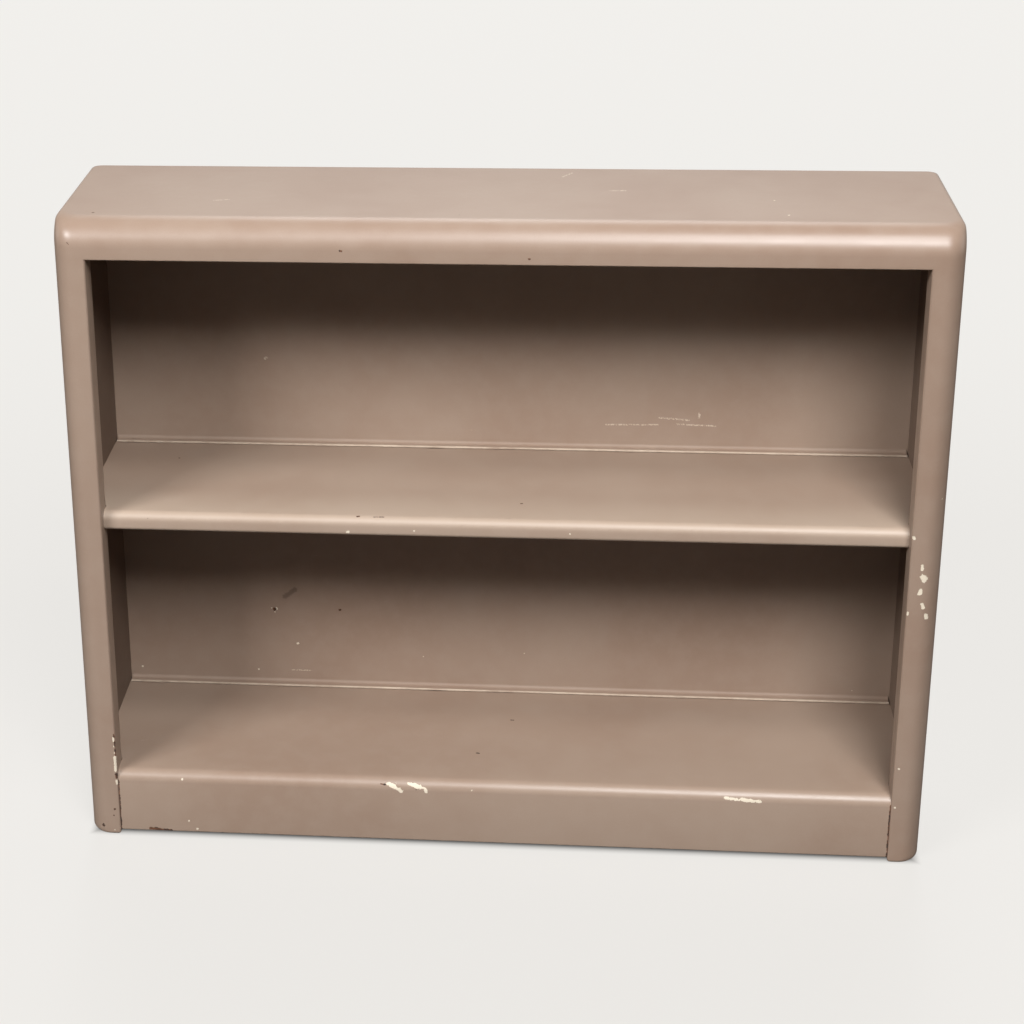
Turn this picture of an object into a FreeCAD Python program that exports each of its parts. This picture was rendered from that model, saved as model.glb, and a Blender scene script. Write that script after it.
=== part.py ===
"""Low open bookcase in folded sheet steel: two bays, a fixed middle shelf and a toe kick.

Row frame in millimetres: X across the width, Y from the front (-) to the back (+), Z up.
The origin is on the floor, under the middle of the case.
Each sub-part is written to parts/NAME.step.
"""
import FreeCAD
import Part
import math
import os

# ---- driving dimensions (mm) ----
case_width = 914.0
case_depth = 218.0
case_height = 718.0
sheet = 1.2

# rounded outer edges of the case
front_post_radius = 22.0
rear_post_radius = 8.0
top_front_radius = 28.0
top_side_radius = 6.0
top_rear_radius = 6.0
fold_radius = 2.0

# front posts and the fascia over the opening
post_face = 34.5
post_return = 28.0
fascia_height = 41.0
fascia_upturn = 18.0
rear_flange = 22.0
side_thickness = 10.0

# feet and the gap under the kick and the sides
floor_gap = 5.0
foot_height = 10.0
foot_outer_radius = 6.0
foot_inner_radius = 3.5
foot_front_radius = 3.0
rear_foot_size = 22.0
rear_foot_height = 30.0
rear_foot_plate = 1.5
rail_end_gap = 0.5

# middle shelf
mid_shelf_top = 391.0
mid_shelf_nose = 20.5
mid_shelf_setback = 12.0
mid_nose_radius = 9.0
mid_nose_lower_radius = 4.0
nose_return = 22.0

# bottom shelf and kick, one folded sheet
base_shelf_top = 80.0
kick_recess = 1.5
kick_bend_radius = 12.0
kick_return = 15.0

# what the shelves share
shelf_end_flange = 16.0
shelf_rear_flange = 20.0

# flat back panels, the upper one lapping the rear flange of the middle shelf
back_lap = 9.0
back_seam_gap = 2.0
back_top_gap = 10.0

# hidden stiffeners and clips
hat_web = 30.0
hat_depth = 11.0
hat_foot = 12.0
hat_end_gap = 18.0
rib_width = 30.0
rib_front = 90.0
rib_bottom = 40.0
rib_top_gap = 70.0
rail_flange = 15.0
splice_leg = 60.0
splice_below = 25.0
splice_above = 8.0
splice_bend_ease = 2.0
clip_leg = 20.0
clip_bottom = 16.0
clip_top = 58.0
liner_tab = 15.0

# ---- places worked out from them ----
left = -case_width / 2
front = -case_depth / 2
back = case_depth / 2
fascia_bottom = case_height - fascia_height
liner_face = left + side_thickness
post_edge = left + post_face
post_back = front + post_return
flange_front = back - sheet
back_face = flange_front - sheet
FAR = 2000.0


def box(x0, x1, y0, y1, z0, z1):
    """A block between two opposite corners."""
    return Part.makeBox(x1 - x0, y1 - y0, z1 - z0, FreeCAD.Vector(x0, y0, z0))


def mirrored(shape):
    """The same piece on the other side of the case."""
    return shape.mirror(FreeCAD.Vector(0, 0, 0), FreeCAD.Vector(1, 0, 0))


def in_plan(u, v):
    """Plan coordinates: u is X and v is Y."""
    return FreeCAD.Vector(u, v, 0)


def in_profile(u, v):
    """Side-view coordinates: u is Y and v is Z."""
    return FreeCAD.Vector(0, u, v)


def in_front_view(u, v):
    """Front-view coordinates: u is X and v is Z."""
    return FreeCAD.Vector(u, 0, v)


def direction(a, b):
    """Unit vector from a to b in two dimensions."""
    length = math.hypot(b[0] - a[0], b[1] - a[1])
    return ((b[0] - a[0]) / length, (b[1] - a[1]) / length)


def arc_points(before, corner, after, radius):
    """Start, middle and end of the arc that rounds a corner."""
    d1 = direction(before, corner)
    d2 = direction(corner, after)
    turn = math.acos(max(-1.0, min(1.0, d1[0] * d2[0] + d1[1] * d2[1])))
    reach = radius * math.tan(turn / 2)
    start = (corner[0] - d1[0] * reach, corner[1] - d1[1] * reach)
    end = (corner[0] + d2[0] * reach, corner[1] + d2[1] * reach)
    inward = direction(d1, d2)
    centre_distance = radius / math.cos(turn / 2)
    middle = (corner[0] + inward[0] * (centre_distance - radius),
              corner[1] + inward[1] * (centre_distance - radius))
    return start, middle, end


def rounded_edges(points, radii, place):
    """Lines and arcs along a path whose inner corners have the given radii."""
    edges = []
    at = points[0]
    for i, radius in enumerate(radii, start=1):
        start, middle, end = arc_points(points[i - 1], points[i], points[i + 1], radius)
        edges.append(Part.LineSegment(place(*at), place(*start)).toShape())
        edges.append(Part.Arc(place(*start), place(*middle), place(*end)).toShape())
        at = end
    edges.append(Part.LineSegment(place(*at), place(*points[-1])).toShape())
    return edges


def offset_left(points, distance):
    """The path moved sideways, to the left of its travel."""
    normals = []
    for a, b in zip(points, points[1:]):
        d = direction(a, b)
        normals.append((-d[1], d[0]))
    moved = [(points[0][0] + normals[0][0] * distance, points[0][1] + normals[0][1] * distance)]
    for p, n1, n2 in zip(points[1:-1], normals, normals[1:]):
        share = distance / (1 + n1[0] * n2[0] + n1[1] * n2[1])
        moved.append((p[0] + (n1[0] + n2[0]) * share, p[1] + (n1[1] + n2[1]) * share))
    moved.append((points[-1][0] + normals[-1][0] * distance,
                  points[-1][1] + normals[-1][1] * distance))
    return moved


def offset_radii(points, radii, distance):
    """Bend radii on the moved path: smaller where it turns left, larger where it turns right."""
    result = []
    for i, radius in enumerate(radii, start=1):
        d1 = direction(points[i - 1], points[i])
        d2 = direction(points[i], points[i + 1])
        turns_left = d1[0] * d2[1] - d1[1] * d2[0] > 0
        result.append(radius - distance if turns_left else radius + distance)
    return result


def folded(points, radii, place, run):
    """Folded sheet: the path is its seen face, and the metal lies to the left of the travel."""
    other = offset_left(points, sheet)
    edges = rounded_edges(points, radii, place)
    edges.append(Part.LineSegment(place(*points[-1]), place(*other[-1])).toShape())
    edges += rounded_edges(other, offset_radii(points, radii, sheet), place)
    edges.append(Part.LineSegment(place(*other[0]), place(*points[0])).toShape())
    wire = Part.Wire(Part.__sortEdges__(edges))
    return Part.Face(wire).extrude(run)


def folded_across(points, radii, x0, x1):
    """A sheet folded in side view, running across the case from x0 to x1."""
    piece = folded(points, radii, in_profile, FreeCAD.Vector(x1 - x0, 0, 0))
    piece.translate(FreeCAD.Vector(x0, 0, 0))
    return piece


def folded_upright(points, radii, z0, z1):
    """A sheet folded in plan, standing from z0 to z1."""
    piece = folded(points, radii, in_plan, FreeCAD.Vector(0, 0, z1 - z0))
    piece.translate(FreeCAD.Vector(0, 0, z0))
    return piece


def closed_prism(points, radii, place, run):
    """A prism on a closed outline whose corners after the first have the given radii."""
    edges = rounded_edges(points + [points[0]], radii, place)
    return Part.Face(Part.Wire(edges)).extrude(run)


def case_form(inset):
    """The solid outer form of the case, drawn in by inset on every side but the bottom."""
    plan = [(0, front + inset),
            (-left - inset, front + inset),
            (-left - inset, back - inset),
            (left + inset, back - inset),
            (left + inset, front + inset)]
    plan_radii = [front_post_radius - inset, rear_post_radius - inset,
                  rear_post_radius - inset, front_post_radius - inset]
    upright = closed_prism(plan, plan_radii, in_plan, FreeCAD.Vector(0, 0, case_height))
    profile = [(0, 0),
               (back - inset, 0),
               (back - inset, case_height - inset),
               (front + inset, case_height - inset),
               (front + inset, 0)]
    sharp = 0.01
    profile_radii = [sharp, top_rear_radius - inset, top_front_radius - inset, sharp]
    across = closed_prism(profile, profile_radii, in_profile, FreeCAD.Vector(case_width, 0, 0))
    across.translate(FreeCAD.Vector(left, 0, 0))
    frontal = [(0, 0),
               (-left - inset, 0),
               (-left - inset, case_height - inset),
               (left + inset, case_height - inset),
               (left + inset, 0)]
    side_radii = [sharp, top_side_radius - inset, top_side_radius - inset, sharp]
    endwise = closed_prism(frontal, side_radii, in_front_view, FreeCAD.Vector(0, case_depth, 0))
    endwise.translate(FreeCAD.Vector(0, front, 0))
    return upright.common(across).common(endwise)


def top_cap():
    """Pressed top: rounded shell with the fascia's box section folded in under its front."""
    shell = case_form(0).cut(case_form(sheet))
    shell = shell.common(box(left, -left, front, back, fascia_bottom, case_height))
    fold_zone = 3 * fold_radius
    shell = shell.cut(box(post_edge, -post_edge, front, front + 2 * sheet,
                          fascia_bottom, fascia_bottom + fold_zone))
    lip = folded_across([(front, fascia_bottom + fold_zone),
                         (front, fascia_bottom),
                         (post_back, fascia_bottom),
                         (post_back, fascia_bottom + fascia_upturn)],
                        [fold_radius, fold_radius], post_edge, -post_edge)
    return shell.fuse(lip).removeSplitter()


def side_skin():
    """Left side: outer skin with the rounded front post folded to a box, and a rear flange."""
    skin = folded_upright([(left + rear_post_radius + rear_flange, back),
                           (left, back),
                           (left, front),
                           (post_edge, front),
                           (post_edge, post_back),
                           (liner_face, post_back)],
                          [rear_post_radius, front_post_radius, fold_radius, fold_radius],
                          floor_gap, fascia_bottom)
    return skin.cut(box(left - 1, post_edge + 1, front - 1, post_back, 0, foot_height))


def side_liner():
    """Left inner skin of the double wall, with tabs on the post and under the top."""
    ceiling = case_height - sheet
    tab_face = post_back + sheet
    wall = folded_upright([(liner_face + liner_tab, tab_face),
                           (liner_face, tab_face),
                           (liner_face, back_face)],
                          [fold_radius], floor_gap, fascia_bottom)
    head_front = tab_face + fold_radius
    head_back = back_face - rear_post_radius
    lower_head = box(liner_face - sheet, liner_face, head_front, back_face,
                     fascia_bottom, case_height - top_rear_radius)
    upper_head = box(liner_face - sheet, liner_face, head_front, head_back,
                     fascia_bottom, ceiling - sheet)
    tab = box(liner_face - sheet, liner_face + liner_tab, head_front, head_back,
              ceiling - sheet, ceiling)
    return wall.fuse([lower_head, upper_head, tab]).removeSplitter()


def side_rib():
    """Left upright channel that holds the two skins apart."""
    outer = left + sheet
    inner = liner_face - sheet
    start = front + rib_front
    return folded_upright([(inner, start + rib_width),
                           (outer, start + rib_width),
                           (outer, start),
                           (inner, start)],
                          [fold_radius, fold_radius], rib_bottom, case_height - rib_top_gap)


def corner_splice():
    """Left strip inside the rounded corner, across the seam of side and top."""
    return folded_upright([(left + sheet, front + splice_leg),
                           (left + sheet, front + sheet),
                           (post_edge - fold_radius, front + sheet)],
                          [front_post_radius - sheet + splice_bend_ease],
                          fascia_bottom - splice_below, fascia_bottom + splice_above)


def front_foot():
    """Left front foot: a pressed cup with rounded lower edges that closes the post."""
    def form(inset):
        outline = [(post_edge - 2 * fold_radius, front + inset),
                   (post_edge - inset, front + inset),
                   (post_edge - inset, post_back - inset),
                   (left + inset, post_back - inset),
                   (left + inset, front + inset)]
        corner_radii = [fold_radius - inset, fold_radius - inset,
                        fold_radius - inset, front_post_radius - inset]
        upright = closed_prism(outline, corner_radii, in_plan, FreeCAD.Vector(0, 0, foot_height))
        upright.translate(FreeCAD.Vector(0, 0, inset))
        frontal = [(left + post_face / 2, FAR),
                   (left + inset, FAR),
                   (left + inset, inset),
                   (post_edge - inset, inset),
                   (post_edge - inset, FAR)]
        sharp = 0.01
        frontal_radii = [sharp, foot_outer_radius - inset, foot_inner_radius - inset, sharp]
        endwise = closed_prism(frontal, frontal_radii, in_front_view,
                               FreeCAD.Vector(0, post_return, 0))
        endwise.translate(FreeCAD.Vector(0, front, 0))
        profile = [(post_back - post_return / 2, FAR),
                   (front + inset, FAR),
                   (front + inset, inset),
                   (post_back - inset, inset),
                   (post_back - inset, FAR)]
        profile_radii = [sharp, foot_front_radius - inset, foot_front_radius - inset, sharp]
        across = closed_prism(profile, profile_radii, in_profile,
                              FreeCAD.Vector(post_face, 0, 0))
        across.translate(FreeCAD.Vector(left, 0, 0))
        return upright.common(endwise).common(across)

    cup = form(0).cut(form(sheet))
    return cup.common(box(left, post_edge, front, post_back, 0, foot_height))


def rear_foot():
    """Left rear foot: a corner bracket on the liner and the rear rail, with a floor plate."""
    x0 = liner_face
    x1 = x0 + rear_foot_size
    y1 = back_face
    y0 = y1 - rear_foot_size
    plate = box(x0, x1, y0, y1, 0, rear_foot_plate)
    side_leg = box(x0, x0 + rear_foot_plate, y0, y1, 0, rear_foot_height)
    rear_leg = box(x0, x1, y1 - rear_foot_plate, y1, 0, rear_foot_height)
    return plate.fuse([side_leg, rear_leg]).removeSplitter()


def shelf_wings(top):
    """The wide rear part of a shelf, out to both liners, with its end and rear flanges."""
    notch = post_back + sheet + fold_radius
    flat = folded_across([(back_face, top - shelf_rear_flange),
                          (back_face, top),
                          (notch, top)],
                         [fold_radius], liner_face, -liner_face)
    flange_back = back_face - sheet
    end = box(liner_face, liner_face + sheet, notch, flange_back, top - shelf_end_flange, top)
    return flat.fuse([end, mirrored(end)])


def mid_shelf():
    """Middle shelf with a rolled nose between the posts and notches behind them."""
    nose = front + mid_shelf_setback
    bottom = mid_shelf_top - mid_shelf_nose
    rolled = folded_across([(back_face - shelf_end_flange, mid_shelf_top),
                            (nose, mid_shelf_top),
                            (nose, bottom),
                            (nose + nose_return, bottom)],
                           [mid_nose_radius, mid_nose_lower_radius], post_edge, -post_edge)
    return shelf_wings(mid_shelf_top).fuse(rolled).removeSplitter()


def base_shelf():
    """Bottom shelf that bends down into the toe kick in one sheet."""
    kick = front + kick_recess
    rolled = folded_across([(back_face - shelf_end_flange, base_shelf_top),
                            (kick, base_shelf_top),
                            (kick, floor_gap),
                            (kick + kick_return, floor_gap)],
                           [kick_bend_radius, fold_radius], post_edge, -post_edge)
    return shelf_wings(base_shelf_top).fuse(rolled).removeSplitter()


def hat_channel(underside, middle):
    """Hat-section stiffener across the case, under a panel whose underside is given."""
    x0 = liner_face + hat_end_gap
    y0 = middle - hat_web / 2
    y1 = middle + hat_web / 2
    low = underside - hat_depth
    outer = fold_radius + sheet
    return folded_across([(y1 + hat_foot, underside),
                          (y1, underside),
                          (y1, low),
                          (y0, low),
                          (y0, underside),
                          (y0 - hat_foot, underside)],
                         [outer, fold_radius, fold_radius, outer], x0, -x0)


def back_panel(panel_bottom, panel_top):
    """Flat back sheet between the liners, in line with the rear flanges of the sides."""
    return box(liner_face, -liner_face, back_face, flange_front, panel_bottom, panel_top)


def rear_rail():
    """Rail that closes the back under the bottom shelf, with a flange between the rear feet."""
    x0 = liner_face + rear_foot_size + rail_end_gap
    rail = folded_across([(flange_front - rail_flange, floor_gap),
                          (flange_front, floor_gap),
                          (flange_front, base_shelf_top)],
                         [fold_radius], x0, -x0)
    end = box(liner_face, x0, back_face, flange_front, floor_gap + fold_radius, base_shelf_top)
    return rail.fuse([end, mirrored(end)]).removeSplitter()


def kick_clip():
    """Left angle that ties the kick to the front post."""
    kick_back = front + kick_recess + sheet
    return folded_upright([(post_edge, post_back - fold_radius),
                           (post_edge, kick_back),
                           (post_edge + clip_leg, kick_back)],
                          [fold_radius], clip_bottom, clip_top)


def write(name, shape):
    """Write one node, after making sure that it is whole."""
    solids = shape.Solids
    whole = solids[0] if len(solids) == 1 else Part.makeCompound(solids)
    if not solids or not whole.isValid():
        raise ValueError("bad shape: " + name)
    whole.exportStep("parts/" + name + ".step")
    print(name, len(solids), round(whole.Volume))


def build():
    """Make every node."""
    os.makedirs("parts", exist_ok=True)
    mid_depth = (post_back + back_face) / 2
    write("top_cap", top_cap())
    write("top_channel", hat_channel(case_height - sheet, mid_depth))
    write("mid_shelf", mid_shelf())
    write("mid_shelf_channel", hat_channel(mid_shelf_top - sheet, mid_depth))
    write("base_shelf", base_shelf())
    write("base_shelf_channel", hat_channel(base_shelf_top - sheet, mid_depth))
    write("back_upper", back_panel(mid_shelf_top - back_lap, case_height - back_top_gap))
    write("back_lower", back_panel(base_shelf_top, mid_shelf_top - back_lap - back_seam_gap))
    write("rear_rail", rear_rail())
    paired = {"side_skin": side_skin, "side_liner": side_liner, "side_rib": side_rib,
              "corner_splice": corner_splice, "kick_clip": kick_clip,
              "front_foot": front_foot, "rear_foot": rear_foot}
    for name, make in paired.items():
        piece = make()
        write(name + "_left", piece)
        write(name + "_right", mirrored(piece))


build()
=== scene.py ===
"""Looks for a low two-bay bookcase in folded, painted sheet steel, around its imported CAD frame."""
import math

import bmesh
import bpy
from mathutils import Euler, Matrix, Vector


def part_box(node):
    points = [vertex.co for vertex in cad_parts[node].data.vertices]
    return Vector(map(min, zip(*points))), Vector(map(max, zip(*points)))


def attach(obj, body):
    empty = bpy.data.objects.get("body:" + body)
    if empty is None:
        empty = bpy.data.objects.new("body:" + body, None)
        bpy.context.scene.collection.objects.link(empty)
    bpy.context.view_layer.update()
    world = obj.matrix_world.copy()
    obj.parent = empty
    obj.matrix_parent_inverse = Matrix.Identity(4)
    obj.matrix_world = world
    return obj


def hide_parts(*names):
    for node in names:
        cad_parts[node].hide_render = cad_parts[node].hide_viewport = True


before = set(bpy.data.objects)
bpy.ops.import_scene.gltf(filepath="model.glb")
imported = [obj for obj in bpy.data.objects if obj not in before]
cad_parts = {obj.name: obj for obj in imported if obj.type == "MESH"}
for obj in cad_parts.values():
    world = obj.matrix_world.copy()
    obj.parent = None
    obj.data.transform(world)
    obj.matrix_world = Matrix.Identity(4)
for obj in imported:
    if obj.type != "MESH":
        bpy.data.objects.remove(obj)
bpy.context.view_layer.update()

# ---- places taken from the CAD nodes (metres) ----
HALF_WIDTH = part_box("top_cap")[1].x
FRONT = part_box("top_cap")[0].y
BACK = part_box("top_cap")[1].y
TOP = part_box("top_cap")[1].z
FASCIA_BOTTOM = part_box("top_cap")[0].z
POST_EDGE = -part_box("side_skin_left")[1].x
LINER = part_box("back_upper")[1].x
POST_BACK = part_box("front_foot_left")[1].y
FOOT_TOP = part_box("front_foot_left")[1].z
FLOOR_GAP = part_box("side_skin_left")[0].z
MID_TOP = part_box("mid_shelf")[1].z
MID_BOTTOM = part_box("mid_shelf")[0].z
MID_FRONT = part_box("mid_shelf")[0].y
BASE_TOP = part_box("base_shelf")[1].z
KICK_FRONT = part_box("base_shelf")[0].y
BACK_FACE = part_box("mid_shelf")[1].y

# ---- sizes of the sheet work (metres) ----
SHEET = 0.0012
POST_RADIUS = 0.022
REAR_RADIUS = 0.008
TOP_FRONT_RADIUS = 0.028
TOP_EDGE_RADIUS = 0.006
FOLD = 0.002
REAR_FLANGE = 0.030
FASCIA_UPTURN = 0.018
SHELF_END_FLANGE = 0.016
SHELF_REAR_FLANGE = 0.020
NOSE_RADIUS = 0.009
NOSE_LOWER_RADIUS = 0.004
NOSE_RETURN = 0.022
KICK_RADIUS = 0.012
KICK_RETURN = 0.015
PANEL_FOOT_RADIUS = 0.004
PANEL_END_STRIP = 0.0015
PANEL_COLUMNS = 48
LEDGE_DEPTH = 0.010
LEDGE_FRONT = BACK_FACE - LEDGE_DEPTH
LEDGE_WAVES = [(0.00035, 9, 1.3), (0.0002, 31, 0.0)]
HEM_DEPTH = 0.004
FOOT_OUTER_RADIUS = 0.006
FOOT_INNER_RADIUS = 0.0035
FOOT_FRONT_RADIUS = 0.003
ARC_STEPS = 8
POST_ARC_STEPS = 12
SHARP_DEGREES = 35
TINY = 1e-6


# ======================================================================
# Mesh building
# ======================================================================

def new_piece(name, bm):
    """Turns a bmesh into a smooth-shaded piece that rides on the case."""
    mesh = bpy.data.meshes.new(name)
    bm.to_mesh(mesh)
    bm.free()
    piece = bpy.data.objects.new(name, mesh)
    bpy.context.scene.collection.objects.link(piece)
    for polygon in mesh.polygons:
        polygon.use_smooth = True
    mesh.set_sharp_from_angle(angle=math.radians(SHARP_DEGREES))
    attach(piece, "root")
    return piece


def thicken(bm, depth):
    """Gives an open sheet its thickness, on the side away from its normals."""
    mesh = bpy.data.meshes.new("sheet")
    bm.to_mesh(mesh)
    bm.free()
    holder = bpy.data.objects.new("sheet", mesh)
    bpy.context.scene.collection.objects.link(holder)
    solid = holder.modifiers.new("thickness", "SOLIDIFY")
    solid.thickness = depth
    solid.offset = -1
    solid.use_even_offset = True
    solid.use_quality_normals = True
    evaluated = holder.evaluated_get(bpy.context.evaluated_depsgraph_get())
    result = bpy.data.meshes.new_from_object(evaluated)
    bpy.data.objects.remove(holder)
    thick = bmesh.new()
    thick.from_mesh(result)
    return thick


def drop_loose(bm):
    """Removes the points that no face uses."""
    loose = [v for v in bm.verts if not v.link_faces]
    bmesh.ops.delete(bm, geom=loose, context="VERTS")


def arc(centre, radius, start, stop, steps):
    """Points on an arc, angles in degrees."""
    points = []
    for i in range(steps + 1):
        angle = math.radians(start + (stop - start) * i / steps)
        points.append((centre[0] + radius * math.cos(angle), centre[1] + radius * math.sin(angle)))
    return points


def rounded_path(points, radii):
    """A path in two dimensions with an arc at each inner corner."""
    path = [points[0]]
    for i, radius in enumerate(radii, start=1):
        before = Vector(points[i - 1])
        corner = Vector(points[i])
        after = Vector(points[i + 1])
        d1 = (corner - before).normalized()
        d2 = (after - corner).normalized()
        turn = d1.angle(d2)
        reach = radius * math.tan(turn / 2)
        centre = corner + (d2 - d1).normalized() * radius / math.cos(turn / 2)
        start = corner - d1 * reach - centre
        side = 1 if d1.cross(d2) > 0 else -1
        for k in range(ARC_STEPS + 1):
            angle = side * turn * k / ARC_STEPS
            c = math.cos(angle)
            s = math.sin(angle)
            path.append((centre.x + start.x * c - start.y * s, centre.y + start.x * s + start.y * c))
    path.append(points[-1])
    return path


def drawn_in(past, radius):
    """How far a rounded edge has drawn in, at a distance past the start of its curve."""
    if past <= 0:
        return 0.0
    return radius - math.sqrt(max(radius * radius - past * past, 0.0))


def edge_drop(height, radius):
    """How far a rounded upper edge has drawn in at a height."""
    return drawn_in(height - (TOP - radius), radius)


def foot_drop(height, radius):
    """How far a rounded lower edge has drawn in at a height."""
    return drawn_in(radius - height, radius)


def case_ring(z):
    """Plan outline of the case at a height: points, and a label for the stretch after each."""
    half = HALF_WIDTH - edge_drop(z, TOP_EDGE_RADIUS)
    y0 = FRONT + edge_drop(z, TOP_FRONT_RADIUS)
    y1 = BACK - edge_drop(z, TOP_EDGE_RADIUS)
    face_edge = POST_EDGE + FOLD
    flange_edge = HALF_WIDTH - REAR_FLANGE
    side_split = max(POST_BACK, y0 + POST_RADIUS + 0.002)
    points = [(-face_edge, y0), (face_edge, y0)]
    labels = ["opening", "post"]
    for point in arc((half - POST_RADIUS, y0 + POST_RADIUS), POST_RADIUS, -90, 0, POST_ARC_STEPS):
        points.append(point)
        labels.append("post")
    points.append((half, side_split))
    labels.append("side")
    for point in arc((half - REAR_RADIUS, y1 - REAR_RADIUS), REAR_RADIUS, 0, 90, ARC_STEPS):
        points.append(point)
        labels.append("side")
    points.append((flange_edge, y1))
    labels.append("rear")
    points.append((-flange_edge, y1))
    labels.append("side")
    for point in arc((REAR_RADIUS - half, y1 - REAR_RADIUS), REAR_RADIUS, 90, 180, ARC_STEPS):
        points.append(point)
        labels.append("side")
    points.append((-half, side_split))
    labels.append("post")
    for point in arc((POST_RADIUS - half, y0 + POST_RADIUS), POST_RADIUS, 180, 270, POST_ARC_STEPS):
        points.append(point)
        labels.append("post")
    return points, labels


def build_case_shell():
    """Top, sides and front posts as one welded and painted skin, with the folds round the opening."""
    bm = bmesh.new()
    opening_top = FASCIA_BOTTOM + FOLD
    heights = [FLOOR_GAP, FOOT_TOP, opening_top, TOP - TOP_FRONT_RADIUS]
    for degrees in list(range(6, 85, 6)) + [87, 90]:
        heights.append(TOP - TOP_FRONT_RADIUS * (1 - math.sin(math.radians(degrees))))
    rings = []
    for z in heights:
        points, labels = case_ring(z)
        rings.append([bm.verts.new((x, y, z)) for x, y in points])
    for low in range(len(heights) - 1):
        for k, label in enumerate(labels):
            if label in ("opening", "rear") and low < 2:
                continue
            if label == "post" and low < 1:
                continue
            after = (k + 1) % len(labels)
            bm.faces.new((rings[low][k], rings[low][after], rings[low + 1][after], rings[low + 1][k]))
    bm.faces.new(rings[-1])
    edge_loop = [rings[1][0], rings[2][0], rings[2][1], rings[1][1]]
    steps = []
    for i in range(1, 7):
        angle = math.radians(15 * i)
        drawn = FOLD * (1 - math.sin(angle))
        steps.append((drawn, drawn, FOLD * (1 - math.cos(angle))))
    depth = POST_BACK - FRONT
    for i in range(7):
        angle = math.radians(15 * i)
        drawn = FOLD * (1 - math.cos(angle))
        steps.append((drawn, drawn, depth - FOLD * (1 - math.sin(angle))))
    steps.append((LINER - POST_EDGE, FASCIA_UPTURN, depth))
    for out_x, out_z, y in steps:
        x = POST_EDGE + out_x
        z = FASCIA_BOTTOM + out_z
        loop = [bm.verts.new((-x, FRONT + y, FOOT_TOP)), bm.verts.new((-x, FRONT + y, z)),
                bm.verts.new((x, FRONT + y, z)), bm.verts.new((x, FRONT + y, FOOT_TOP))]
        for a in range(3):
            bm.faces.new((loop[a], loop[a + 1], edge_loop[a + 1], edge_loop[a]))
        edge_loop = loop
    drop_loose(bm)
    piece = new_piece("case_shell", thicken(bm, SHEET))
    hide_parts("top_cap", "side_skin_left", "side_skin_right")
    return piece


def build_shelf(name, node, path, top):
    """A folded shelf: its path is swept across the case, and only its rear part reaches the liners."""
    bm = bmesh.new()
    notch = POST_BACK + SHEET + FOLD
    columns = [-LINER, -POST_EDGE] + [POST_EDGE * k / 12 for k in range(-11, 12)] + [POST_EDGE, LINER]
    for i, (y, z) in enumerate(path):
        if y < notch and abs(z - top) < TINY:
            path.insert(i, (notch, top))
            break
    rows = [[bm.verts.new((x, y, z)) for x in columns] for y, z in path]
    for i in range(len(path) - 1):
        in_front = path[i + 1][0] < notch - TINY
        for k in range(len(columns) - 1):
            if in_front and k in (0, len(columns) - 2):
                continue
            bm.faces.new((rows[i][k], rows[i + 1][k], rows[i + 1][k + 1], rows[i][k + 1]))
    for side, column in ((-1, 0), (1, len(columns) - 1)):
        rear = [r for r, p in zip(rows, path) if p[0] >= notch - TINY and abs(p[1] - top) < TINY]
        if len(rear) < 2:
            continue
        a, b = rear[0][column], rear[-1][column]
        c = bm.verts.new((b.co.x, b.co.y, top - SHELF_END_FLANGE))
        d = bm.verts.new((a.co.x, a.co.y, top - SHELF_END_FLANGE))
        bm.faces.new((a, d, c, b) if side < 0 else (a, b, c, d))
    drop_loose(bm)
    piece = new_piece(name, thicken(bm, SHEET))
    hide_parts(node)
    return piece


def build_mid_shelf():
    """Middle shelf with its rolled nose."""
    path = rounded_path([(BACK_FACE, MID_TOP - SHELF_REAR_FLANGE),
                         (BACK_FACE, MID_TOP),
                         (MID_FRONT, MID_TOP),
                         (MID_FRONT, MID_BOTTOM),
                         (MID_FRONT + NOSE_RETURN, MID_BOTTOM)],
                        [FOLD, NOSE_RADIUS, NOSE_LOWER_RADIUS])
    return build_shelf("middle_shelf_sheet", "mid_shelf", path, MID_TOP)


def build_base_shelf():
    """Bottom shelf that rolls down into the toe kick."""
    path = rounded_path([(BACK_FACE, BASE_TOP - SHELF_REAR_FLANGE),
                         (BACK_FACE, BASE_TOP),
                         (KICK_FRONT, BASE_TOP),
                         (KICK_FRONT, FLOOR_GAP),
                         (KICK_FRONT + KICK_RETURN, FLOOR_GAP)],
                        [FOLD, KICK_RADIUS, FOLD])
    return build_shelf("bottom_shelf_sheet", "base_shelf", path, BASE_TOP)


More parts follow.
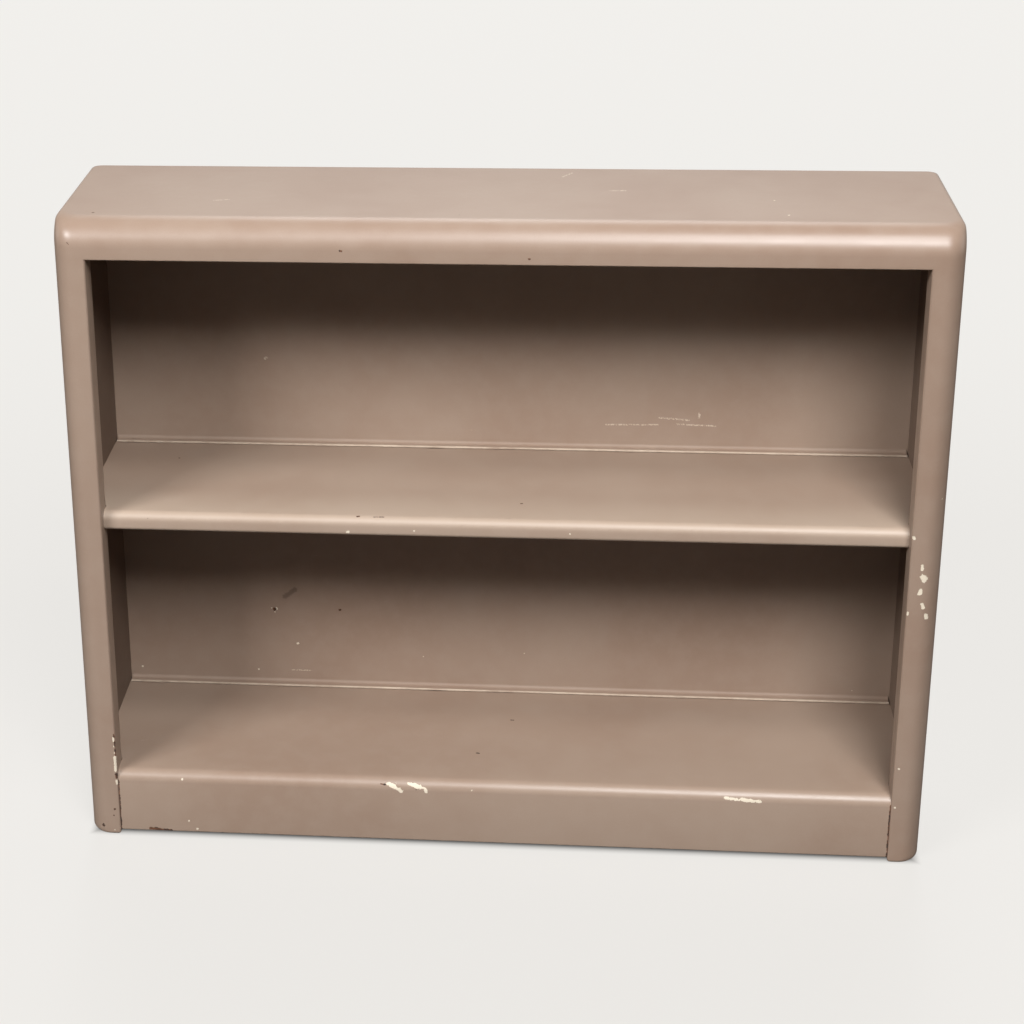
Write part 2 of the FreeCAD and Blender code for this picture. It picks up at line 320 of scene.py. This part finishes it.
def build_back_panel(name, node, shelf_top):
    """Back sheet whose foot rolls forward into a hemmed ledge on the shelf, a little uneven."""
    low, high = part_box(node)
    inner = LINER - PANEL_END_STRIP
    ledge_top = shelf_top + 2 * SHEET
    strip_foot = ledge_top + 2 * SHEET
    path = rounded_path([(BACK_FACE, high.z),
                         (BACK_FACE, ledge_top),
                         (LEDGE_FRONT + SHEET, ledge_top)],
                        [PANEL_FOOT_RADIUS])
    path = path[:-1] + arc((LEDGE_FRONT + SHEET, shelf_top + SHEET), SHEET, 90, 270, 6)
    path.append((LEDGE_FRONT + HEM_DEPTH, shelf_top))
    bm = bmesh.new()
    rows = []
    for y, z in path:
        on_hem = z < ledge_top + 1e-5 and y < LEDGE_FRONT + 0.002
        row = []
        for k in range(PANEL_COLUMNS + 1):
            x = inner * (2 * k / PANEL_COLUMNS - 1)
            wave = sum(height * math.sin(rate * x + shift) for height, rate, shift in LEDGE_WAVES)
            row.append(bm.verts.new((x, y + wave if on_hem else y, z)))
        rows.append(row)
    for i in range(len(rows) - 1):
        for k in range(PANEL_COLUMNS):
            bm.faces.new((rows[i][k], rows[i + 1][k], rows[i + 1][k + 1], rows[i][k + 1]))
    # a straight strip at each end of the wall, and the lap that runs down behind the ledge
    for side in (-1, 1):
        corners = [(side * inner, high.z), (side * LINER, high.z),
                   (side * LINER, strip_foot), (side * inner, strip_foot)]
        verts = [bm.verts.new((x, BACK_FACE, z)) for x, z in corners]
        bm.faces.new(verts if side < 0 else verts[::-1])
    lap = [(-LINER, strip_foot), (-LINER, low.z), (LINER, low.z), (LINER, strip_foot)]
    bm.faces.new([bm.verts.new((x, BACK_FACE, z)) for x, z in lap])
    piece = new_piece(name, thicken(bm, SHEET))
    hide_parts(node)
    return piece


def build_front_foot(name, node, side):
    """Pressed cup that closes a post, with rounded lower edges."""
    bm = bmesh.new()
    rings = []
    for z in [0.0, 0.0001, 0.0004, 0.0009, 0.0016, 0.0025, 0.0035, 0.0046, 0.006, FOOT_TOP]:
        x0 = -HALF_WIDTH + foot_drop(z, FOOT_OUTER_RADIUS)
        x1 = -POST_EDGE - foot_drop(z, FOOT_INNER_RADIUS)
        y0 = FRONT + foot_drop(z, FOOT_FRONT_RADIUS)
        y1 = POST_BACK - foot_drop(z, FOOT_FRONT_RADIUS)
        corner = POST_RADIUS - 1.5 * foot_drop(z, FOOT_FRONT_RADIUS)
        outline = arc((x0 + corner, y0 + corner), corner, 180, 270, POST_ARC_STEPS)
        outline += arc((x1 - FOLD, y0 + FOLD), FOLD, -90, 0, 4)
        outline += arc((x1 - FOLD, y1 - FOLD), FOLD, 0, 90, 4)
        outline += arc((x0 + FOLD, y1 - FOLD), FOLD, 90, 180, 4)
        rings.append([bm.verts.new((-side * x, y, z)) for x, y in outline])
    for low, high in zip(rings, rings[1:]):
        for k in range(len(low)):
            after = (k + 1) % len(low)
            bm.faces.new((low[k], low[after], high[after], high[k]))
    bm.faces.new(rings[0])
    bmesh.ops.recalc_face_normals(bm, faces=bm.faces)
    piece = new_piece(name, thicken(bm, SHEET))
    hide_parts(node)
    return piece


# ======================================================================
# Materials
# ======================================================================

class Paint:
    """Small helper for wiring one node material."""

    def __init__(self, name):
        self.material = bpy.data.materials.new(name)
        self.material.use_nodes = True
        self.tree = self.material.node_tree
        self.tree.nodes.clear()
        self.output = self.tree.nodes.new("ShaderNodeOutputMaterial")
        self.shader = self.tree.nodes.new("ShaderNodeBsdfPrincipled")
        self.tree.links.new(self.shader.outputs[0], self.output.inputs["Surface"])
        self.position = self.tree.nodes.new("ShaderNodeTexCoord").outputs["Object"]

    def node(self, kind, settings=None, **inputs):
        """Adds a node, with its own settings and its inputs by name."""
        made = self.tree.nodes.new(kind)
        for key, value in (settings or {}).items():
            setattr(made, key, value)
        for key, value in inputs.items():
            self.put(value, made.inputs[key.replace("_", " ")])
        return made

    def put(self, value, socket):
        """Links a socket, or sets a plain value."""
        if isinstance(value, bpy.types.NodeSocket):
            self.tree.links.new(value, socket)
        else:
            socket.default_value = value

    def math(self, operation, a, b=0.0, c=0.0, clamp=False):
        made = self.tree.nodes.new("ShaderNodeMath")
        made.operation = operation
        made.use_clamp = clamp
        for value, socket in zip((a, b, c), made.inputs):
            self.put(value, socket)
        return made.outputs[0]

    def vector(self, operation, a, b=(0.0, 0.0, 0.0)):
        made = self.tree.nodes.new("ShaderNodeVectorMath")
        made.operation = operation
        self.put(a, made.inputs[0])
        self.put(b, made.inputs[1])
        return made.outputs["Value"] if operation == "LENGTH" else made.outputs["Vector"]

    def noise(self, scale, detail, roughness, stretch=(1.0, 1.0, 1.0), shift=(0.0, 0.0, 0.0)):
        """Noise at a place that is shifted first and stretched after."""
        placed = self.vector("MULTIPLY", self.vector("ADD", self.position, shift), stretch)
        made = self.node("ShaderNodeTexNoise", Vector=placed, Scale=scale, Detail=detail, Roughness=roughness)
        return made.outputs["Fac"]

    def ramp(self, value, low, high, bottom=0.0, top=1.0):
        """A smooth step from one level to another."""
        made = self.tree.nodes.new("ShaderNodeMapRange")
        made.interpolation_type = "SMOOTHSTEP"
        for item, socket in zip((value, low, high, bottom, top), made.inputs):
            self.put(item, socket)
        return made.outputs[0]

    def mix(self, factor, a, b):
        made = self.tree.nodes.new("ShaderNodeMix")
        made.data_type = "RGBA"
        self.put(factor, made.inputs[0])
        self.put(a, made.inputs[6])
        self.put(b, made.inputs[7])
        return made.outputs[2]

    def axis(self, index):
        made = self.node("ShaderNodeSeparateXYZ", Vector=self.position)
        return made.outputs[index]


def colour(red, green, blue):
    """An sRGB colour from 0 to 255, as the linear value that the shader takes."""
    linear = []
    for value in (red, green, blue):
        v = value / 255
        linear.append(v / 12.92 if v <= 0.04045 else ((v + 0.055) / 1.055) ** 2.4)
    return (*linear, 1.0)


TAUPE = colour(135, 114, 99)
TAUPE_LIGHT = colour(144, 126, 112)
TAUPE_DARK = colour(127, 104, 89)
CREAM = colour(202, 190, 171)
BARE = colour(48, 35, 28)
PALE = colour(196, 180, 162)
RIM = colour(120, 100, 86)
RUST = colour(96, 60, 38)
LEDGE_HIGHLIGHT_TONE = colour(188, 172, 154)

# ---- scales of the paint's noise (turns per metre) ----
BROAD_SCALE = 5.0
DENT_SCALE = 9.0
SEAM_AND_HIGHLIGHT_SCALE = 14.0
HANDLING_SCALE = 30.0
DOT_SCALE = 42.0
PATCH_SCALE = 48.0
STROKE_SCALE = 60.0
CHIP_EDGE_SCALE = 330.0
BEAD_SCALE = 700.0
GRAIN_SCALE = 900.0

# ---- how strongly each layer of the paint shows ----
PATCH_SHARE = 0.30
GRAIN_SHARE = 0.22
FRONT_LIGHT_SHARE = 0.22
HANDLING_SHARE = 0.45
PALE_DOT_SHARE = 0.7
DARK_DOT_SHARE = 0.6
SEAM_AND_HIGHLIGHT_SHARE = 0.85
RUB_SHARE = 0.7
SMEAR_SHARE = 0.4
RELIEF_STRENGTH = 0.35
RELIEF_HEIGHT = 0.0006
MARK_EDGE = 1.92
MARK_RAGGEDNESS = 2.0


def mark_mask(paint, ragged, marks, soft=0.2):
    """Where small ragged marks lie: rows of two end points and a half width, all in millimetres."""
    nearest = None
    for x0, y0, z0, x1, y1, z1, half_width in marks:
        start = Vector((x0, y0, z0)) / 1000
        along = Vector((x1 - x0, y1 - y0, z1 - z0)) / 1000
        away = paint.vector("SUBTRACT", paint.position, start)
        if along.length > 0:
            dot = paint.node("ShaderNodeVectorMath", {"operation": "DOT_PRODUCT"})
            paint.put(away, dot.inputs[0])
            paint.put(along / along.length_squared, dot.inputs[1])
            share = paint.math("ADD", dot.outputs["Value"], 0.0, clamp=True)
            away = paint.vector("SUBTRACT", away, paint.vector("MULTIPLY", share, along))
        distance = paint.math("DIVIDE", paint.vector("LENGTH", away), half_width / 1000)
        nearest = distance if nearest is None else paint.math("MINIMUM", nearest, distance)
    uneven = paint.math("MULTIPLY_ADD", ragged, MARK_RAGGEDNESS, nearest)
    return paint.ramp(uneven, MARK_EDGE - soft / 2, MARK_EDGE + soft / 2, 1.0, 0.0)


def base_coat(paint, patches, painted_shade, painted_light_lift, painted_light_front):
    """The mottled taupe, darkened as a whole as painted shade or made paler as a whole as painted light, and
    paler towards a front edge as painted light.
    """
    broad = paint.noise(BROAD_SCALE, 3.0, 0.5)
    grain = paint.noise(GRAIN_SCALE, 2.0, 0.6)
    base = paint.mix(paint.ramp(broad, 0.32, 0.68), TAUPE_DARK, TAUPE_LIGHT)
    base = paint.mix(0.55, base, TAUPE)
    base = paint.mix(paint.ramp(patches, 0.35, 0.72, 0.0, PATCH_SHARE), base, TAUPE_LIGHT)
    base = paint.mix(paint.ramp(grain, 0.45, 0.75, 0.0, GRAIN_SHARE), base, TAUPE_DARK)
    # painted shade: the whole piece darkened towards dark brown, standing in for the shade inside the bays
    if painted_shade:
        base = paint.mix(painted_shade, base, BARE)
    # painted light: the piece made paler as a whole, standing in for light that the lamps don't bring to the
    # shelves and back sheets
    if painted_light_lift:
        base = paint.mix(painted_light_lift, base, PALE)
    # painted light: paler towards the front edge, fading out 75 mm back, fully on the shelf's top and a fifth
    # as much on its nose, standing in for the light that falls on the front of the shelf
    if painted_light_front is not None:
        front_light = paint.ramp(paint.axis(1), painted_light_front + 0.006, painted_light_front + 0.075, FRONT_LIGHT_SHARE, 0.0)
        on_top = paint.ramp(paint.axis(2), MID_TOP - 0.012, MID_TOP - 0.003, 0.2, 1.0)
        base = paint.mix(paint.math("MULTIPLY", front_light, on_top), base, PALE)
    return base


def handling_marks(paint, base):
    """Faint short pale rubs, and pale and dark pinholes in the paint."""
    handling = paint.noise(HANDLING_SCALE, 5.0, 0.75, stretch=(0.35, 1.0, 1.9), shift=(0.0, 2.3, 0.0))
    base = paint.mix(paint.ramp(handling, 0.70, 0.80, 0.0, HANDLING_SHARE), base, PALE)
    cells = paint.node("ShaderNodeTexVoronoi", Vector=paint.position, Scale=DOT_SCALE, Randomness=1.0)
    picked = paint.node("ShaderNodeSeparateColor", Color=cells.outputs["Color"])
    dots = paint.ramp(cells.outputs["Distance"], 0.020, 0.045, 1.0, 0.0)
    pale_dots = paint.math("MULTIPLY", dots, paint.ramp(picked.outputs[0], 0.955, 0.965))
    dark_dots = paint.math("MULTIPLY", dots, paint.ramp(picked.outputs[1], 0.960, 0.970))
    base = paint.mix(paint.math("MULTIPLY", pale_dots, PALE_DOT_SHARE), base, CREAM)
    return paint.mix(paint.math("MULTIPLY", dark_dots, DARK_DOT_SHARE), base, BARE)


def relief(paint):
    """Height of the brushed surface: orange peel, brush strokes and broad shallow dents."""
    depth = paint.math("MULTIPLY", paint.noise(CHIP_EDGE_SCALE, 2.0, 0.5), 0.10)
    strokes = paint.noise(STROKE_SCALE, 3.0, 0.6, stretch=(0.10, 1.0, 1.6), shift=(0.0, 5.1, 0.0))
    depth = paint.math("MULTIPLY_ADD", strokes, 0.10, depth)
    dents = paint.noise(DENT_SCALE, 2.0, 0.4, shift=(7.7, 0.0, 0.0))
    return paint.math("MULTIPLY_ADD", dents, 0.55, depth)


def seam_and_highlight_lines(paint, base, seams_and_highlights):
    """Broken lines across the case, dark seams or painted highlights along an edge: rows of depth, half
    width, where the breaks start and end, and colour.
    """
    for where, width, low, high, tone in seams_and_highlights:
        away = paint.math("ABSOLUTE", paint.math("SUBTRACT", paint.axis(1), where))
        line = paint.ramp(away, width * 0.4, width, 1.0, 0.0)
        broken = paint.noise(SEAM_AND_HIGHLIGHT_SCALE, 4.0, 0.7, stretch=(1.0, 0.0, 0.0), shift=(where * 90, 0.0, 0.0))
        line = paint.math("MULTIPLY", line, paint.ramp(broken, low, high))
        base = paint.mix(paint.math("MULTIPLY", line, SEAM_AND_HIGHLIGHT_SHARE), base, tone)
    return base


def enamel(name, chips=(), bare=(), rubs=(), smears=(), seams_and_highlights=(), gloss=0.36,
           painted_shade=0.0, painted_light_lift=0.0, painted_light_front=None, sheen=0.5):
    """Old brushed semi-gloss enamel in taupe, over an older cream coat, chipped through in places."""
    paint = Paint(name)
    patches = paint.noise(PATCH_SCALE, 4.0, 0.6, shift=(3.1, 0.0, 1.7))
    ragged = paint.noise(CHIP_EDGE_SCALE, 4.0, 0.65)
    base = base_coat(paint, patches, painted_shade, painted_light_lift, painted_light_front)
    base = handling_marks(paint, base)
    base = seam_and_highlight_lines(paint, base, seams_and_highlights)
    rough = paint.math("MULTIPLY_ADD", patches, 0.16, gloss - 0.06)
    if rubs:
        beads = paint.ramp(paint.noise(BEAD_SCALE, 2.0, 0.6), 0.42, 0.58)
        mask = paint.math("MULTIPLY", mark_mask(paint, ragged, rubs, 0.5), beads)
        base = paint.mix(paint.math("MULTIPLY", mask, RUB_SHARE), base, PALE)
    if smears:
        mask = mark_mask(paint, ragged, smears, 0.9)
        base = paint.mix(paint.math("MULTIPLY", mask, SMEAR_SHARE), base, BARE)
    if chips:
        mask = mark_mask(paint, ragged, chips, 0.4)
        base = paint.mix(paint.ramp(mask, 0.02, 0.5, 0.0, 0.7), base, RIM)
        base = paint.mix(paint.ramp(mask, 0.45, 0.8), base, CREAM)
        rough = paint.math("MULTIPLY_ADD", mask, 0.25, rough)
    if bare:
        mask = mark_mask(paint, ragged, bare)
        base = paint.mix(mask, base, paint.mix(paint.ramp(ragged, 0.4, 0.6), BARE, RUST))
        rough = paint.math("MULTIPLY_ADD", mask, 0.4, rough)
    bump = paint.node("ShaderNodeBump", Strength=RELIEF_STRENGTH, Distance=RELIEF_HEIGHT,
                      Height=relief(paint))
    paint.put(base, paint.shader.inputs["Base Color"])
    paint.put(rough, paint.shader.inputs["Roughness"])
    paint.put(bump.outputs[0], paint.shader.inputs["Normal"])
    paint.shader.inputs["Specular IOR Level"].default_value = sheen
    return paint.material


# ---- wear, as rows of two end points and a half width (millimetres) ----
CASE_CHIPS = [
    # inner edge of the left post, low down
    (-424.5, -109, 124, -424.4, -109, 119, 1.1),
    (-424.2, -109, 113, -424.2, -109, 112, 0.9),
    (-424.2, -109, 105, -424.2, -109, 104, 0.9),
    (-424.0, -109, 99, -424.0, -109, 82, 1.9),
    (-423.6, -109, 69, -423.5, -109, 65, 1.5),
    # run of chips down the right post
    (424.0, -109, 389, 424.5, -109, 388, 1.7),
    (435.0, -109, 357, 435.6, -109, 353, 1.7),
    (437.0, -109, 344.5, 438.6, -109, 341.0, 3.5),
    (435.4, -109, 329, 434.6, -109, 325, 2.2),
    (438.0, -109, 313, 439.6, -109, 309, 2.0),
    (442.6, -108, 300, 444.6, -108, 297, 2.6),
    (424.0, -109, 303, 424.0, -109, 301, 1.3),
    (451.5, -103, 431, 451.5, -103, 430, 1.2),
    (427.6, -109, 117, 427.6, -109, 117, 1.2),
    (426.6, -109, 69, 426.6, -109, 69, 1.2),
    # specks on the top
    (286, -62, 718, 286, -62, 717, 1.3),
    (275.7, -10.4, 718, 275.7, -10.4, 718, 1.2),
]
CASE_BARE = [
    (-423.8, -109, 127, -423.6, -109, 124, 1.1),
    (-423.0, -109, 118, -422.9, -109, 101, 1.2),
    (-423.4, -109, 76.5, -423.2, -109, 73.5, 2.2),
    (-422.7, -109, 97, -422.7, -109, 60, 0.6),
    (-443.3, -109, 10.6, -442.9, -109, 10.2, 2.3),
    (-428.0, -109, 32.5, -428.0, -109, 32.0, 1.4),
    (-429.5, -109, 24, -429.5, -109, 24, 0.9),
    (-456.5, 10, 717, -456.5, 20, 717, 1.6),
    (-418.3, -75.6, 718, -417.8, -75.6, 718, 1.3),
    (-441.5, -108, 697.5, -438.0, -109, 694.0, 0.8),
    (-160.8, -109, 690.3, -159.6, -109, 690.2, 1.2),
    (28.3, -109, 684.2, 28.8, -109, 684.2, 1.1),
]
CASE_RUBS = [
    (109.5, 20.7, 718, 125.1, 21.1, 718, 1.6),
    (-300, -28, 718, -285, -24, 718, 1.2),
    (60, 72, 718, 70, 87, 718, 1.2),
]
BASE_CHIPS = [
    # two broken patches on the bend of the kick, left of the middle
    (-133, -106, 76.6, -129, -106, 76.4, 1.2),
    (-121, -106, 75.8, -106, -106, 67.6, 2.6),
    (-116, -106, 77.6, -112, -106, 77.0, 2.3),
    (-97, -106, 76.4, -86, -106, 72.6, 2.8),
    (-86, -106, 73.0, -79.5, -106, 71.0, 1.4),
    (-79.4, -106, 69.4, -79.0, -106, 67.4, 2.3),
    (-28.5, -106, 71, -28.5, -106, 71, 1.3),
    (148, -106, 69.2, 148, -106, 69.2, 1.3),
    # long pale patch on the bend, right of the middle
    (246, -106, 72.2, 262, -106, 70.6, 1.9),
    (263, -106, 71.0, 284, -106, 69.4, 2.4),
    # specks near the left end
    (-350, -106, 72.0, -350, -106, 72.0, 1.5),
    (-344.8, -107.5, 19.3, -344.8, -107.5, 19.3, 1.2),
    (-335.6, -107.5, 9.7, -335.6, -107.5, 9.7, 1.5),
]
BASE_BARE = [
    (-129, -106, 74.8, -124, -106, 74.0, 1.0),
    (-90, -106, 69.6, -85, -106, 69.4, 1.2),
    (-389, -107.5, 8.2, -378, -107.5, 7.6, 1.9),
    (-376, -107.5, 7.2, -365, -107.5, 6.6, 1.3),
    (-380, -106, 71, -376, -106, 71, 0.9),
    (-422.3, -107, 68, -422.4, -107, 6, 1.4),
    (422.3, -107, 70, 422.4, -107, 6, 1.5),
    (10.0, 33.6, 80, 13.0, 33.2, 80, 1.0),
    (-26.0, -42.4, 80, -23.5, -42.8, 80, 1.0),
]
MID_CHIPS = [
    (-161.0, -97, 374.7, -159.4, -97, 374.7, 1.5),
    (-90.1, -97, 377.7, -90.1, -97, 377.7, 1.1),
    (73.6, -97, 378.4, 73.6, -97, 378.4, 1.1),
    (-413.5, -96, 390.0, -412.0, -96, 390.0, 1.2),
]
MID_BARE = [
    (-150.5, -91.5, 391, -148.5, -91.5, 391, 1.4),
    (-135.5, -91.8, 391, -122.0, -91.4, 391, 0.9),
    (21.2, -50.3, 391, 22.2, -50.3, 391, 1.1),
    (-366.2, 54, 391, -365.4, 54, 391, 1.1),
]
UPPER_RUBS = [
    (112.5, 106.5, 420, 171, 106.5, 421, 0.9),
    (172, 106.5, 429.5, 204.5, 106.5, 427, 1.1),
    (215.5, 106.5, 430.5, 216, 106.5, 435.5, 1.3),
    (191.5, 106.5, 422, 234.5, 106.5, 420.5, 0.9),
    (-272, 106.5, 493, -269.5, 106.5, 494, 1.3),
]
LOWER_CHIPS = [
    (-268.6, 106.5, 179, -268.4, 106.5, 177, 1.1),
    (-274.5, 106.5, 178.5, -274.2, 106.5, 178.5, 0.9),
    (-270.8, 106.5, 173.5, -270.6, 106.5, 173.5, 0.9),
    (-245, 106.5, 132.5, -244, 106.5, 133, 1.4),
    (-292.5, 106.5, 96.5, -292.5, 106.5, 96.5, 1.2),
    (-433, 106.5, 96, -433, 106.5, 96, 1.2),
]
LOWER_BARE = [
    (-271.5, 106.5, 177.5, -271, 106.5, 177, 2.2),
    (-193.6, 106.5, 178.5, -193.4, 106.5, 178.3, 1.5),
]
LOWER_RUBS = [
    (-253, 106.5, 97, -229, 106.5, 97, 0.8),
]
LOWER_SMEARS = [
    (-258.5, 106.5, 193.5, -246, 106.5, 203.5, 2.8),
]
LEDGE_SEAM = (LEDGE_FRONT, 0.0010, 0.48, 0.70, BARE)
# painted highlight: a broken pale line along the ledge's rounded front edge
LEDGE_EDGE_HIGHLIGHT = (LEDGE_FRONT + 0.0006, 0.0016, 0.25, 0.65, LEDGE_HIGHLIGHT_TONE)


def give(target, material):
    """Puts one material on every slot of a piece."""
    target.data.materials.clear()
    target.data.materials.append(material)


# ======================================================================
# Stage
# ======================================================================

FLOOR_HALF = 6
FLOOR_NEAR = colour(76, 74, 72)
FLOOR_FAR = colour(20, 20, 19)
FLOOR_GLOW = colour(255, 253, 249)
FLOOR_LIFT = 0.70
FAR_LIFT = 0.10
FAR_START = 0.7
FAR_END = 2.0
BACKDROP = colour(245, 243, 240)
WORLD_COLOUR = (1.0, 0.985, 0.965, 1.0)
WORLD_STRENGTH = 0.01
REFLECTED_SHARE = 0.80
WALL_START = 0.55
WALL_FULL = 0.90

# name, place, target, width, height and power of each soft lamp
LAMPS = [
    ("key", (1.15, -3.50, 3.75), (0.0, 0.0, 0.4), 1.6, 1.4, 247.0),
    ("left_window", (-2.75, -2.80, 3.00), (0.0, 0.0, 0.4), 1.8, 1.0, 205.0),
    ("ceiling", (0.70, -1.45, 3.25), (0.1, 0.0, 0.5), 1.2, 0.5, 48.0),
    ("behind", (0.0, 1.67, 2.39), (0.0, 0.0, 0.5), 1.6, 1.0, 22.0),
    ("right_side", (2.34, 0.3, 0.9), (0.0, 0.0, 0.4), 1.0, 1.0, 4.0),
    ("left_side", (-2.34, 0.3, 0.9), (0.0, 0.0, 0.4), 1.0, 1.0, 4.0),
]

CAMERA_PLACE = (0.0660, -2.2110, 1.3641)
CAMERA_TILT = 69.422
CAMERA_TURN = 5.943
CAMERA_ROLL = -1.175


def build_floor():
    """A plain pale floor, lifted for the camera alone, with a painted shadow under the case where the lift is
    taken away.
    """
    bm = bmesh.new()
    corners = [(-FLOOR_HALF, -FLOOR_HALF, 0), (FLOOR_HALF, -FLOOR_HALF, 0),
               (FLOOR_HALF, FLOOR_HALF, 0), (-FLOOR_HALF, FLOOR_HALF, 0)]
    bm.faces.new([bm.verts.new(c) for c in corners])
    mesh = bpy.data.meshes.new("floor")
    bm.to_mesh(mesh)
    bm.free()
    floor = bpy.data.objects.new("floor", mesh)
    bpy.context.scene.collection.objects.link(floor)
    paint = Paint("floor_pale")
    seen = paint.node("ShaderNodeLightPath").outputs["Is Camera Ray"]
    spread = paint.vector("LENGTH", paint.position)
    far = paint.ramp(spread, FAR_START, FAR_END)
    paint.put(paint.mix(far, FLOOR_NEAR, FLOOR_FAR), paint.shader.inputs["Base Color"])
    paint.shader.inputs["Roughness"].default_value = 0.5
    paint.shader.inputs["Emission Color"].default_value = FLOOR_GLOW
    glow = paint.math("MULTIPLY_ADD", far, FAR_LIFT, FLOOR_LIFT)
    # painted shadow: the camera's lift fades out from 4 mm outside the case's outline to 16 mm inside it
    beside = paint.math("SUBTRACT", paint.math("ABSOLUTE", paint.axis(0)), HALF_WIDTH)
    before = paint.math("SUBTRACT", paint.math("ABSOLUTE", paint.axis(1)), BACK)
    outside_painted_shadow = paint.ramp(paint.math("MAXIMUM", beside, before), -0.016, 0.004)
    glow = paint.math("MULTIPLY", glow, outside_painted_shadow)
    paint.put(paint.math("MULTIPLY", seen, glow), paint.shader.inputs["Emission Strength"])
    give(floor, paint.material)


def build_world():
    """Faint light all round, a pale backdrop for the camera, and a pale wall behind in reflections."""
    world = bpy.data.worlds.new("studio")
    bpy.context.scene.world = world
    world.use_nodes = True
    tree = world.node_tree
    tree.nodes.clear()
    output = tree.nodes.new("ShaderNodeOutputWorld")
    light = tree.nodes.new("ShaderNodeBackground")
    light.inputs["Color"].default_value = WORLD_COLOUR
    light.inputs["Strength"].default_value = WORLD_STRENGTH
    seen = tree.nodes.new("ShaderNodeBackground")
    seen.inputs["Color"].default_value = BACKDROP
    seen.inputs["Strength"].default_value = 1.0
    path = tree.nodes.new("ShaderNodeLightPath")
    mixer = tree.nodes.new("ShaderNodeMixShader")
    toward = tree.nodes.new("ShaderNodeTexCoord")
    parts = tree.nodes.new("ShaderNodeSeparateXYZ")
    tree.links.new(toward.outputs["Generated"], parts.inputs[0])
    behind = tree.nodes.new("ShaderNodeMapRange")
    behind.interpolation_type = "SMOOTHSTEP"
    tree.links.new(parts.outputs["Y"], behind.inputs["Value"])
    behind.inputs["From Min"].default_value = WALL_START
    behind.inputs["From Max"].default_value = WALL_FULL
    behind.inputs["To Max"].default_value = REFLECTED_SHARE
    reflected = tree.nodes.new("ShaderNodeMath")
    reflected.operation = "MULTIPLY_ADD"
    tree.links.new(path.outputs["Is Glossy Ray"], reflected.inputs[0])
    tree.links.new(behind.outputs[0], reflected.inputs[1])
    tree.links.new(path.outputs["Is Camera Ray"], reflected.inputs[2])
    tree.links.new(reflected.outputs[0], mixer.inputs[0])
    tree.links.new(light.outputs[0], mixer.inputs[1])
    tree.links.new(seen.outputs[0], mixer.inputs[2])
    tree.links.new(mixer.outputs[0], output.inputs["Surface"])


def build_lights():
    """A soft key on the right, a wide window on the left, and small lamps above, behind and beside."""
    for name, place, target, width, height, power in LAMPS:
        data = bpy.data.lights.new(name, "AREA")
        data.shape = "RECTANGLE"
        data.size = width
        data.size_y = height
        data.energy = power
        lamp = bpy.data.objects.new(name, data)
        bpy.context.scene.collection.objects.link(lamp)
        lamp.location = place
        lamp.rotation_euler = (Vector(target) - Vector(place)).to_track_quat("-Z", "Y").to_euler()


def build_camera():
    """Camera at the height and angle of the reference view."""
    data = bpy.data.cameras.new("camera")
    data.sensor_width = 36.0
    data.lens = 77.68
    data.shift_x = 0.1580
    data.shift_y = -0.1457
    data.clip_end = 50.0
    camera = bpy.data.objects.new("camera", data)
    bpy.context.scene.collection.objects.link(camera)
    turned = Euler((math.radians(CAMERA_TILT), 0.0, math.radians(CAMERA_TURN)), "XYZ").to_matrix()
    rolled = turned @ Matrix.Rotation(math.radians(CAMERA_ROLL), 3, "Z")
    camera.location = CAMERA_PLACE
    camera.rotation_euler = rolled.to_euler()
    bpy.context.scene.camera = camera


# ======================================================================
# Assembly
# ======================================================================

shell = build_case_shell()
mid = build_mid_shelf()
base = build_base_shelf()
upper = build_back_panel("upper_back_sheet", "back_upper", MID_TOP)
lower = build_back_panel("lower_back_sheet", "back_lower", BASE_TOP)
foot_left = build_front_foot("front_foot_left_cup", "front_foot_left", -1)
foot_right = build_front_foot("front_foot_right_cup", "front_foot_right", 1)

shell_paint = enamel("enamel_case", CASE_CHIPS, CASE_BARE, CASE_RUBS)
give(shell, shell_paint)
give(foot_left, shell_paint)
give(foot_right, shell_paint)
# the shelves and back sheets are made paler than the case as painted light
give(mid, enamel("enamel_mid_shelf", MID_CHIPS, MID_BARE, seams_and_highlights=[LEDGE_SEAM], gloss=0.46,
                 painted_light_lift=0.10, painted_light_front=MID_FRONT))
give(base, enamel("enamel_base_shelf", BASE_CHIPS, BASE_BARE, seams_and_highlights=[LEDGE_SEAM], painted_light_lift=0.06))
give(upper, enamel("enamel_back_upper", rubs=UPPER_RUBS, seams_and_highlights=[LEDGE_EDGE_HIGHLIGHT], gloss=0.50,
                   painted_light_lift=0.07, sheen=0.3))
give(lower, enamel("enamel_back_lower", LOWER_CHIPS, LOWER_BARE, LOWER_RUBS, LOWER_SMEARS,
                   [LEDGE_EDGE_HIGHLIGHT], gloss=0.50, painted_light_lift=0.02, sheen=0.3))
# painted shade: the inner faces of the sides and the other CAD parts that still show have their taupe
# darkened halfway to dark brown, standing in for shade inside the bays
inner_paint_with_painted_shade = enamel("enamel_inner_painted_shade", painted_shade=0.5, gloss=0.5, sheen=0.12)
for node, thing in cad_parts.items():
    if not thing.hide_render:
        give(thing, inner_paint_with_painted_shade)

build_floor()
build_world()
build_lights()
build_camera()

scene = bpy.context.scene
scene.view_settings.view_transform = "Standard"
